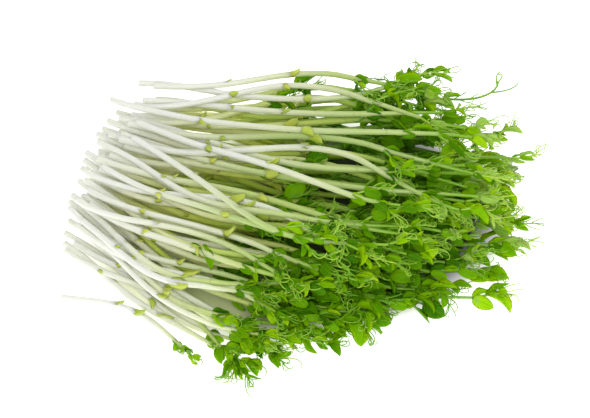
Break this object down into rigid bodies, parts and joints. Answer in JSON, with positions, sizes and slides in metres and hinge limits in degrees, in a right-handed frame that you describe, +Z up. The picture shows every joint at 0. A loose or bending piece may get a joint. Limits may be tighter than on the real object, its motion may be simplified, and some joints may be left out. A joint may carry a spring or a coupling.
{
  "type": "heap of cut pea shoots",
  "caption": "Loose fan-shaped heap of freshly cut pea shoots, pale stems together at one side and leafy tips with tendrils at the other.",
  "frame": {"origin": "on the surface that the heap lies on, under the middle of its outline", "axes": "+Z up from the surface, +X from the cut ends towards the leafy tips, -Y towards the short shoots at the front"},
  "size_m": [0.1637, 0.1329, 0.047],
  "materials": {
    "pale_stem": "satin",
    "green_top": "satin"
  },
  "bodies": {
    "root": {"layer_1_sheaf_1_stems": "pale_stem", "layer_1_sheaf_1_tops": "green_top", "layer_1_sheaf_2_stems": "pale_stem", "layer_1_sheaf_2_tops": "green_top", "layer_1_sheaf_3_stems": "pale_stem", "layer_1_sheaf_3_tops": "green_top", "layer_1_sheaf_4_stems": "pale_stem", "layer_1_sheaf_4_tops": "green_top", "layer_1_sheaf_5_stems": "pale_stem", "layer_1_sheaf_5_tops": "green_top", "layer_2_sheaf_1_stems": "pale_stem", "layer_2_sheaf_1_tops": "green_top", "layer_2_sheaf_2_stems": "pale_stem", "layer_2_sheaf_2_tops": "green_top", "layer_2_sheaf_3_stems": "pale_stem", "layer_2_sheaf_3_tops": "green_top", "layer_2_sheaf_4_stems": "pale_stem", "layer_2_sheaf_4_tops": "green_top", "layer_2_sheaf_5_stems": "pale_stem", "layer_2_sheaf_5_tops": "green_top", "layer_2_sheaf_6_stems": "pale_stem", "layer_2_sheaf_6_tops": "green_top", "layer_3_sheaf_1_stems": "pale_stem", "layer_3_sheaf_1_tops": "green_top", "layer_3_sheaf_2_stems": "pale_stem", "layer_3_sheaf_2_tops": "green_top", "layer_3_sheaf_3_stems": "pale_stem", "layer_3_sheaf_3_tops": "green_top", "layer_3_sheaf_4_stems": "pale_stem", "layer_3_sheaf_4_tops": "green_top", "layer_3_sheaf_5_stems": "pale_stem", "layer_3_sheaf_5_tops": "green_top", "layer_4_sheaf_1_stems": "pale_stem", "layer_4_sheaf_1_tops": "green_top", "layer_4_sheaf_2_stems": "pale_stem", "layer_4_sheaf_2_tops": "green_top", "layer_4_sheaf_3_stems": "pale_stem", "layer_4_sheaf_3_tops": "green_top", "layer_4_sheaf_4_stems": "pale_stem", "layer_4_sheaf_4_tops": "green_top", "layer_5_sheaf_1_stems": "pale_stem", "layer_5_sheaf_1_tops": "green_top", "layer_5_sheaf_2_stems": "pale_stem", "layer_5_sheaf_2_tops": "green_top", "layer_5_sheaf_3_stems": "pale_stem", "layer_5_sheaf_3_tops": "green_top", "loose_shoot_1_stem": "pale_stem", "loose_shoot_1_top": "green_top", "loose_shoot_2_stem": "pale_stem", "loose_shoot_2_top": "green_top", "loose_shoot_3_stem": "pale_stem", "loose_shoot_3_top": "green_top", "loose_shoot_4_stem": "pale_stem", "loose_shoot_4_top": "green_top"}
  },
  "joints": []
}
